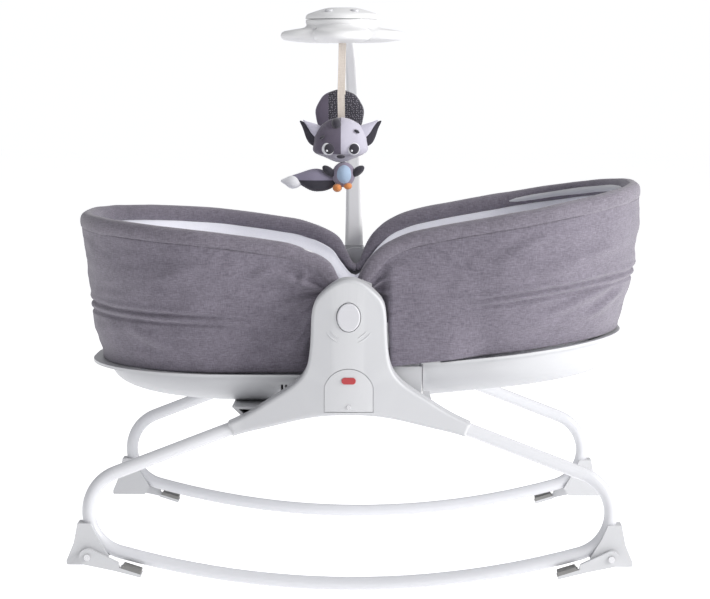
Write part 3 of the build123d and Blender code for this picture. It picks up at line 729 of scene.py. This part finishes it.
# %% Cushions
def cushion(name, node, body, corners, spacing, tilt=0.0):
    """A stuffed pad in the place of a plain one. tilt is its rise for each metre of X."""
    low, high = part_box(node)
    low, high = low + PAD_MARGIN, high - PAD_MARGIN
    if tilt:
        high.z -= (high.x - low.x) * tilt
        low.z += 0.002
    piece = slab(name, low, high, corners)
    puff_up(piece)
    quilt(piece, low, high, spacing)
    if tilt:
        for v in piece.data.vertices:
            v.co.z += (v.co.x - low.x) * tilt
    modifier(piece, "SUBSURF", levels=1, render_levels=1)
    apply_all(piece)
    piece.data.polygons.foreach_set("use_smooth", [True] * len(piece.data.polygons))
    piece.data.materials.append(LINER)
    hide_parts(node)
    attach(piece, body)
    print(name, "faces:", len(piece.data.polygons))


cushion("seat_cushion", "seat_pad", "base", (0.128, 0.128), 0.066)
cushion("back_cushion", "back_pad", "back_section", (0.018, 0.146), 0.060, tilt=0.1)

# %% [markdown]
# ## Webbing and ribbons
# Harness straps and toy ribbons are flat and stiff across, so they are thin bands with a raised
# selvedge along both edges, laid along a short line, and are not simulated.


# %% Harness straps
STRAP_WIDE, STRAP_THICK = 0.025, 0.0022
PAD_LIFT = 0.0045


def band(name, path, width, thick, across, material):
    """A flat band along a path. across is the direction of its width."""
    line = spaced(path, len(path) * 10)
    selvedge = [(0.74, 0.72), (0.82, 1.0), (0.96, 0.9), (1, 0.0)]
    profile = [(-x, y) for x, y in reversed(selvedge)] + selvedge
    profile += [(x, -y) for x, y in reversed(profile[1:-1])]
    rows = []
    side = Vector(across).normalized()
    for i, p in enumerate(line):
        along = Vector(line[min(i + 1, len(line) - 1)] - line[max(i - 1, 0)]).normalized()
        up = side.cross(along).normalized()
        rows.append([Vector(p) + side * (x * width / 2) + up * (y * thick / 2) for x, y in profile])
    piece = outward(grid_mesh(name, rows, close_u=True, caps=True, smooth=False))
    piece.data.materials.append(material)
    return piece


strap_low, strap_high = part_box("harness_straps")
pad_top = strap_low.z + PAD_LIFT
crotch_path = [
    (strap_low.x - 0.02, 0, pad_top - 0.006), (strap_low.x + 0.01, 0, pad_top + 0.002),
    (-0.05, 0, pad_top + 0.003), (-0.024, 0, pad_top + 0.004),
]
straps = [band("crotch_strap", crotch_path, STRAP_WIDE, STRAP_THICK, (0, 1, 0), WEBBING)]
for side, tag in ((-1, "near"), (1, "far")):
    reach = side * strap_high.y
    waist_path = [
        (0.004, side * 0.024, pad_top + 0.004), (0.002, reach * 0.5, pad_top + 0.004),
        (0.0, reach * 0.92, pad_top + 0.004), (-0.002, reach * 1.12, pad_top - 0.004),
    ]
    straps.append(band(f"waist_strap_{tag}", waist_path, STRAP_WIDE, STRAP_THICK, (1, 0, 0), WEBBING))
for strap in straps:
    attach(strap, "base")
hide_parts("harness_straps")
print("straps:", [strap.name for strap in straps])

# %% [markdown]
# ## Marks round the release buttons
# Two short raised arcs on each side of a button tell the hand where to press. They are moulded with
# the cover, so they stand only a little out of it and follow its ridge.


# %% Press marks
RIDGE_R, RIDGE_SLOPE = 0.240, math.radians(6)
face_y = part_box("tower_doors")[1].y
button_low, button_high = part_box("release_button_near")
axis_z = (button_low.z + button_high.z) / 2


def ridge_drop(x):
    """How far the cover's front lies behind its ridge at this distance from the middle."""
    edge = RIDGE_R * math.sin(RIDGE_SLOPE)
    if abs(x) < edge:
        return RIDGE_R - math.sqrt(RIDGE_R**2 - x * x)
    return RIDGE_R * (1 - math.cos(RIDGE_SLOPE)) + (abs(x) - edge) * math.tan(RIDGE_SLOPE)


def press_mark(name, side, radius, middle, spread):
    """A raised arc round the recline axis: a thin bead with tapered ends."""
    rows = []
    for i in range(25):
        t = i / 24
        a = math.radians(middle + spread * (2 * t - 1))
        centre = Vector((radius * math.cos(a), 0, axis_z + radius * math.sin(a)))
        centre.y = side * (face_y - ridge_drop(centre.x))
        thick = 0.0009 * math.sin(math.pi * min(1.0, max(0.0, 0.06 + 0.88 * t))) ** 0.5
        spoke = Vector((math.cos(a), 0, math.sin(a)))
        rows.append([])
        for b in np.linspace(0, 2 * math.pi, 10, endpoint=False):
            lift = Vector((0, side * thick * 0.8 * math.sin(b), 0))
            rows[-1].append(centre + spoke * (thick * math.cos(b)) + lift)
    piece = outward(grid_mesh(name, rows, close_u=True, caps=True))
    piece.data.materials.append(SHELL)
    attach(piece, "base")


for side, tag in ((-1, "near"), (1, "far")):
    for radius, spread, label in ((0.0300, 14, "inner"), (0.0355, 17, "outer")):
        for middle, way in ((232, "left"), (308, "right")):
            press_mark(f"press_mark_{tag}_{label}_{way}", side, radius, middle, spread)

# %% [markdown]
# ## The music unit
# Its lower shell is a four-petalled flower whose lobes droop from a round body. A lathe cannot make
# lobes, so the shell is a polar grid: the radius swells four times a turn, and the top and the
# underside fall towards the tips.

# %% Flower shell
hub_low, hub_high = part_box("hub_body")
HUB_X = (hub_low.x + hub_high.x) / 2
LOBE_AT, LOBE_R = 0.048, 0.040
DRUM_TOP = hub_high.z
SHELL_TOP, SHELL_LOW, EDGE_R = 0.7585, 0.7330, 0.0078
AROUND = 160


def petal_radius(a):
    """The flower's outline: four round lobes that overlap."""
    b = (a + math.pi / 4) % (math.pi / 2) - math.pi / 4
    return LOBE_AT * math.cos(b) + math.sqrt(LOBE_R**2 - (LOBE_AT * math.sin(b)) ** 2)


def petal_section(rim):
    """Points from the dome's seat over the petal, round its edge and back under it: (radius, height)."""
    droop = 0.0050 * (rim - 0.055) / 0.033
    top_z, edge_z = SHELL_TOP - 0.0015, 0.7445
    out = [(0.0300, DRUM_TOP), (0.0515, DRUM_TOP), (0.0522, DRUM_TOP - 0.0008), (0.0522, SHELL_TOP + 0.0014)]
    out += [(0.0508, SHELL_TOP + 0.0010), (0.0508, SHELL_TOP), (0.0530, top_z - 0.0022)]
    for t in (0.25, 0.5, 0.75, 1.0):
        r = 0.0540 + (rim - EDGE_R - 0.0540) * t
        out.append((r, top_z - 0.0030 - (0.0012 + droop * 0.5) * t**1.5))
    start_z = out[-1][1]
    tall = (start_z - edge_z + EDGE_R) / 2
    for step in range(1, 10):
        a = math.pi * step / 10
        out.append((rim - EDGE_R + EDGE_R * math.sin(a), start_z - tall + tall * math.cos(a)))
    out += [(rim - EDGE_R, start_z - 2 * tall), (0.75 * rim, SHELL_LOW + 0.0015)]
    out += [(0.5 * rim, SHELL_LOW), (0.012, SHELL_LOW)]
    return out


def flower_shell():
    """The petals as a grid: one section for each direction round the body."""
    sections = []
    for step in range(AROUND):
        a = 2 * math.pi * step / AROUND
        section = petal_section(petal_radius(a))
        sections.append([(HUB_X + r * math.cos(a), r * math.sin(a), z) for r, z in section])
    rows = [list(ring) for ring in zip(*sections)]
    piece = outward(grid_mesh("flower_shell", rows, close_u=True, caps=True))
    modifier(piece, "SUBSURF", levels=1, render_levels=1)
    apply_all(piece)
    piece.data.materials.append(ARM)
    return piece


shell = flower_shell()
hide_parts("hub_body")
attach(shell, "toy_arm")
print("flower shell faces:", len(shell.data.polygons))

# %% [markdown]
# ## The toys
# The hanging animal is sewn from plush and jersey: a wide head with pointed ears, a small body with
# a pale belly, short limbs and a big tail. Stuffed parts are smooth closed forms, each in its own
# cloth, slightly sunk into each other as sewn parts are.

# %% Toy cloths
FUR = knitted("toy_fur", (0.30, 0.26, 0.34), (0.20, 0.17, 0.24), 1500.0, 0.5)
PALE = knitted("toy_pale", (0.62, 0.60, 0.70), (0.48, 0.46, 0.56), 1500.0, 0.5)
NIGHT_COLOR = (0.040, 0.036, 0.050)
NIGHT = knitted("toy_night", NIGHT_COLOR, (0.02, 0.018, 0.03), 1500.0, 0.4)
SKY = knitted("toy_sky", (0.44, 0.57, 0.74), (0.34, 0.45, 0.62), 1500.0, 0.4)
ORANGE = knitted("toy_orange", (0.80, 0.30, 0.09), (0.6, 0.2, 0.05), 1500.0, 0.4)
SNOW = knitted("toy_snow", (0.86, 0.86, 0.88), (0.70, 0.70, 0.76), 1500.0, 0.5)
print("toy cloths:", [m.name for m in (FUR, PALE, NIGHT, SKY, ORANGE, SNOW)])

# %% [markdown]
# Every stuffed part is a sphere pulled into shape: a leaf for an ear, a spindle for the tail, a dome
# with cheeks for the head. Stuffing is never even, so each form wobbles a little.


# %% Stuffed forms
def blob(name, centre, size, material, body, shape=None, turn=0.0, detail=4):
    """A stuffed form: a sphere scaled to size, shaped by a function, then turned about Y."""
    mesh = bpy.data.meshes.new(name)
    work = bmesh.new()
    bmesh.ops.create_icosphere(work, subdivisions=detail, radius=1.0)
    c, s = math.cos(turn), math.sin(turn)
    for v in work.verts:
        x, y, z = shape(*v.co) if shape else v.co
        wobble = 1 + 0.025 * noise.noise(Vector((x * 2 + centre[0] * 40, y * 2, z * 2)))
        x, y, z = x * size[0] * wobble, y * size[1] * wobble, z * size[2] * wobble
        v.co = (centre[0] + x * c + z * s, centre[1] + y, centre[2] - x * s + z * c)
    work.to_mesh(mesh)
    work.free()
    mesh.polygons.foreach_set("use_smooth", [True] * len(mesh.polygons))
    mesh.materials.append(material)
    piece = bpy.data.objects.new(name, mesh)
    bpy.context.scene.collection.objects.link(piece)
    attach(piece, body)
    return piece


def pointed(x, y, z):
    """A leaf: full at the foot and drawn to a point at the top."""
    full = 1 - 0.75 * ease(z, -0.6, 1.0)
    return x * full, y * full, z


def spindle(x, y, z):
    """Thick near one end and drawn out towards -X."""
    full = 1 - 0.55 * ease(-x, -0.2, 1.0)
    return x, y * full, z * full


def face(x, y, z):
    """A dome that is widest low down at the cheeks and drawn in under the chin."""
    wide = 1.0 + 0.14 * ease(-z, 0.0, 0.5) - 0.45 * ease(-z, 0.5, 1.0)
    return x * wide, y * (1 - 0.15 * max(0.0, z)), z * (1.0 if z > 0 else 0.86)


# %% [markdown]
# The face and the tail are pieced from more than one cloth. The joins are sewn edge to edge, so they
# are sharp changes of colour at a place in the material, not separate pieces.


# %% Pieced plush
def two_tone(name, left, right, at, low, below):
    """Plush sewn from a left cloth and a right cloth that meet at one X, with a third below one Z."""
    material = knitted(name, left, tuple(0.75 * c for c in left), 1500.0, 0.4)
    n = Nodes(material.node_tree)
    group = next(node for node in material.node_tree.nodes if node.type == "GROUP")
    principled = material.node_tree.nodes["Principled BSDF"]
    split = n.add("ShaderNodeSeparateXYZ")
    n.link(n.add("ShaderNodeTexCoord").outputs["Object"], split.inputs[0])
    side = n.add("ShaderNodeMapRange", **{"From Min": at - 0.0003, "From Max": at + 0.0003})
    n.link(split.outputs["X"], side.inputs["Value"])
    color = n.mix(side.outputs[0], group.outputs["Color"], right)
    bounds = {"From Min": below - 0.0004, "From Max": below + 0.0004, "To Min": 1.0, "To Max": 0.0}
    under = n.add("ShaderNodeMapRange", **bounds)
    n.link(split.outputs["Z"], under.inputs["Value"])
    n.link(n.mix(under.outputs[0], color, low), principled.inputs["Base Color"])
    return material


fox_low, fox_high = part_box("fox_toy")
FX, FY = -0.0170, (fox_low.y + fox_high.y) / 2
FACE = two_tone("toy_face", (0.125, 0.105, 0.15), (0.56, 0.54, 0.63), FX + 0.001, (0.42, 0.40, 0.46), 0.5775)
TAIL = two_tone("toy_tail", (0.29, 0.265, 0.36), (0.29, 0.265, 0.36), FX, NIGHT_COLOR, 0.5400)
print("pieced cloths:", FACE.name, TAIL.name)

# %% [markdown]
# The animal hangs facing the near side. What comes in pairs is made in one loop, left and right.


# %% The animal
def fox_piece(name, at, size, material, shape=None, turn=0.0, detail=4):
    """One stuffed part of the animal. at is (across, forward, height), from the middle of its head."""
    centre = (FX + at[0], FY + at[1], at[2])
    return blob(f"fox_{name}", centre, size, material, "fox", shape, turn, detail)


head = fox_piece("head", (0, 0, 0.5945), (0.0378, 0.0240, 0.0340), FACE, face)
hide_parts("fox_toy")
for side, tag in ((-1, "left"), (1, "right")):
    ear_at, lining_at = (side * 0.0400, 0.002, 0.6075), (side * 0.0365, -0.0015, 0.6125)
    fox_piece(f"ear_{tag}", ear_at, (0.0160, 0.0050, 0.0240), NIGHT, pointed, side * 0.82)
    fox_piece(f"ear_lining_{tag}", lining_at, (0.0100, 0.0045, 0.0210), PALE, pointed, side * 0.92)
    eye = side * 0.0175
    fox_piece(f"eye_white_{tag}", (side * 0.0180 + 0.0010, -0.0195, 0.5850), (0.0088, 0.0040, 0.0090), SNOW)
    fox_piece(f"eye_{tag}", (eye + 0.0022, -0.0222, 0.5852), (0.0070, 0.0028, 0.0074), NIGHT)
    fox_piece(f"glint_{tag}", (eye - 0.0010, -0.0245, 0.5826), (0.0016, 0.0010, 0.0016), SNOW, detail=2)
    arm_at = (0.004 + side * 0.0205, -0.004, 0.5530)
    fox_piece(f"arm_{tag}", arm_at, (0.0058, 0.0055, 0.0110), NIGHT, turn=side * 0.9)
fox_piece("patch", (-0.0055, -0.0125, 0.6200), (0.0068, 0.0095, 0.0085), NIGHT, turn=-0.2)
fox_piece("brow_left", (-0.0255, -0.0190, 0.6010), (0.0042, 0.0025, 0.0021), NIGHT, turn=-0.6)
fox_piece("brow_right", (0.0235, -0.0165, 0.6095), (0.0042, 0.0025, 0.0021), NIGHT, turn=0.6)
fox_piece("nose", (0.0010, -0.0235, 0.5742), (0.0060, 0.0030, 0.0027), NIGHT)
fox_piece("body", (0.0045, 0, 0.5480), (0.0165, 0.0130, 0.0180), FUR)
fox_piece("belly", (0.0050, -0.0050, 0.5485), (0.0118, 0.0105, 0.0140), SKY)
fox_piece("foot_left", (-0.0045, -0.0050, 0.5295), (0.0066, 0.0080, 0.0060), ORANGE)
fox_piece("foot_right", (0.0105, -0.0050, 0.5320), (0.0060, 0.0080, 0.0050), ORANGE)
fox_piece("tail", (-0.0390, 0.0030, 0.5405), (0.0330, 0.0100, 0.0165), TAIL, spindle, 0.10)
fox_piece("tail_tip", (-0.0700, 0.0030, 0.5375), (0.0150, 0.0070, 0.0095), SNOW, spindle, 0.10)

# %% [markdown]
# The second toy is a flat round cushion of dotted cotton, with plain cotton beyond a seam on its left
# and two sewn ridges where its gusset meets its faces.


# %% Round toy
def dotted(name, seam_x):
    """Dark cotton with small pale dots, and plain cotton on the left of a seam."""
    material = bpy.data.materials.new(name)
    material.use_nodes = True
    n = Nodes(material.node_tree)
    principled = material.node_tree.nodes["Principled BSDF"]
    here = n.add("ShaderNodeTexCoord").outputs["Object"]
    split = n.add("ShaderNodeSeparateXYZ")
    flat = n.add("ShaderNodeCombineXYZ")
    n.link(here, split.inputs[0])
    n.link(split.outputs["X"], flat.inputs[0])
    n.link(split.outputs["Z"], flat.inputs[1])
    dots = n.add("ShaderNodeTexVoronoi", voronoi_dimensions="2D", Scale=330.0, Randomness=0.55)
    n.link(flat.outputs[0], dots.inputs["Vector"])
    edge = n.add("ShaderNodeMapRange", **{"From Min": 0.14, "From Max": 0.24, "To Min": 1.0, "To Max": 0.0})
    n.link(dots.outputs["Distance"], edge.inputs["Value"])
    print_color = n.mix(n.math("MULTIPLY", edge.outputs[0], 0.6), (0.036, 0.033, 0.044), (0.45, 0.43, 0.50))
    plain = n.add("ShaderNodeMapRange", **{"From Min": seam_x - 0.0003, "From Max": seam_x + 0.0003})
    n.link(split.outputs["X"], plain.inputs["Value"])
    n.link(n.mix(plain.outputs[0], (0.13, 0.11, 0.155), print_color), principled.inputs["Base Color"])
    source = n.add("ShaderNodeGroup")
    source.node_tree = weave_tree
    source.inputs["Threads"].default_value = 2200.0
    relief = n.add("ShaderNodeBump", Strength=0.4, Distance=0.0005)
    n.link(source.outputs["Height"], relief.inputs["Height"])
    n.link(relief.outputs["Normal"], principled.inputs["Normal"])
    n.link(source.outputs["Roughness"], principled.inputs["Roughness"])
    principled.inputs["Sheen Weight"].default_value = 0.3
    return material


disc_low, disc_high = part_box("round_toy")
disc_mid = (disc_low + disc_high) / 2
disc_r = (disc_high.x - disc_low.x) / 2
DOTS = dotted("dotted_cotton", disc_mid.x - 0.016)


def round_cushion():
    """A stuffed disc whose faces crown between the gusset's seams."""
    rows = []
    half_profile = [(3.5, 1.0), (6.6, 0.97), (7.0, 0.985), (8.4, 0.92), (10.6, 0.7), (11.2, 0.35), (11, 0.02)]
    for y, r in [(-y, r) for y, r in reversed(half_profile)] + half_profile:
        rows.append([])
        for a in np.linspace(0, 2 * math.pi, 64, endpoint=False):
            pucker = 1 + 0.012 * math.sin(9 * a) * (1 if abs(y) < 9 else 0.3)
            rows[-1].append((disc_mid.x + disc_r * r * pucker * math.cos(a), disc_mid.y + y * MM,
                             disc_mid.z + disc_r * r * pucker * math.sin(a)))
    piece = outward(grid_mesh("round_cushion", rows, close_u=True, caps=True))
    modifier(piece, "SUBSURF", levels=2, render_levels=2)
    apply_all(piece)
    piece.data.materials.append(DOTS)
    return piece


disc = round_cushion()
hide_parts("round_toy")
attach(disc, "round_toy")
print("round cushion faces:", len(disc.data.polygons))

# %% [markdown]
# ## Ribbons of the toys
# Each toy hangs on a narrow grosgrain ribbon, one end caught in the music unit's shell and the other
# in the toy's seam. It hangs nearly straight, with a slight sway.

# %% Toy ribbons
RIBBON_WIDE, RIBBON_THICK, SWAY = 0.0102, 0.0013, 0.0006
for tag, body in (("fox", "fox"), ("ball", "round_toy")):
    low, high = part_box(f"{tag}_ribbon")
    mid = (low + high) / 2
    path = [
        (mid.x, mid.y, SHELL_LOW + 0.001), (mid.x - SWAY, mid.y, mid.z + 0.02),
        (mid.x - 3 * SWAY, mid.y, mid.z - 0.02), (mid.x - 2 * SWAY, mid.y, low.z - 0.006),
    ]
    piece = band(f"hanging_ribbon_{tag}", path, RIBBON_WIDE, RIBBON_THICK, (1, 0, 0), RIBBON)
    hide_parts(f"{tag}_ribbon")
    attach(piece, body)
    print(piece.name, "hangs from", round(path[0][2], 3), "to", round(path[-1][2], 3))

# %% [markdown]
# ## Floor, light and camera
# A pale seamless floor, one broad soft light from the right, a weak one from the left and a broad
# weak one above, as in a product studio. A long lens a little above the rim looks almost square at
# the near side.


# %% Studio
def studio_floor():
    """A wide sheet of white paper, lit a little from within so that it shows no edge."""
    mesh = bpy.data.meshes.new("studio_floor")
    work = bmesh.new()
    bmesh.ops.create_grid(work, x_segments=8, y_segments=8, size=14.0)
    work.to_mesh(mesh)
    work.free()
    floor = bpy.data.objects.new("studio_floor", mesh)
    bpy.context.scene.collection.objects.link(floor)
    material = bpy.data.materials.new("studio_paper")
    material.use_nodes = True
    n = Nodes(material.node_tree)
    principled = material.node_tree.nodes["Principled BSDF"]
    haze = n.add("ShaderNodeTexNoise", Scale=0.8, Detail=2.0)
    paper = n.mix(haze.outputs["Fac"], (0.93, 0.93, 0.935), (0.95, 0.95, 0.955))
    n.link(paper, principled.inputs["Base Color"])
    principled.inputs["Roughness"].default_value = 0.9
    principled.inputs["Emission Color"].default_value = (1.0, 1.0, 1.0, 1.0)
    principled.inputs["Emission Strength"].default_value = 0.60
    mesh.materials.append(material)


def soft_light(name, at, target, size, power, tint=(1, 1, 1)):
    """A soft box of this size at a place, turned to its target."""
    data = bpy.data.lights.new(name, "AREA")
    data.shape = "RECTANGLE"
    data.size, data.size_y = size
    data.energy, data.color = power, tint
    lamp = bpy.data.objects.new(name, data)
    lamp.location = at
    lamp.rotation_euler = (Vector(target) - Vector(at)).to_track_quat("-Z", "Y").to_euler()
    bpy.context.scene.collection.objects.link(lamp)


studio_floor()
soft_light("key_light", (3.4, -1.5, 1.7), (0, 0, 0.4), (1.6, 1.6), 140, (1.0, 0.995, 0.985))
soft_light("fill_light", (-2.6, -2.2, 1.6), (0, 0, 0.4), (2.0, 2.0), 3, (0.97, 0.98, 1.0))
soft_light("top_light", (0.3, 0.6, 3.0), (0, 0, 0.3), (2.6, 2.6), 14)
world = bpy.data.worlds.new("studio_world")
world.use_nodes = True
backdrop = world.node_tree.nodes["Background"]
backdrop.inputs["Color"].default_value = (0.97, 0.975, 1.0, 1.0)
sky = Nodes(world.node_tree)
WORLD_LIGHT, SEEN_EXTRA = 0.43, 0.60
seen = sky.add("ShaderNodeLightPath").outputs["Is Camera Ray"]
sky.link(sky.math("ADD", sky.math("MULTIPLY", seen, SEEN_EXTRA), WORLD_LIGHT), backdrop.inputs["Strength"])
bpy.context.scene.world = world
bpy.context.scene.view_settings.view_transform = "Standard"

CAMERA_AT = (0.0695, -3.2737, 0.7123)
CAMERA_PITCH, CAMERA_YAW = 6.025, 1.168
FOCAL = 116.13
camera_data = bpy.data.cameras.new("camera")
camera_data.lens, camera_data.sensor_width = FOCAL, 36.0
camera = bpy.data.objects.new("camera", camera_data)
camera.location = CAMERA_AT
camera.rotation_euler = (math.radians(90 - CAMERA_PITCH), 0, math.radians(CAMERA_YAW))
bpy.context.scene.collection.objects.link(camera)
bpy.context.scene.camera = camera
print("camera at", CAMERA_AT, "with a", FOCAL, "mm lens")
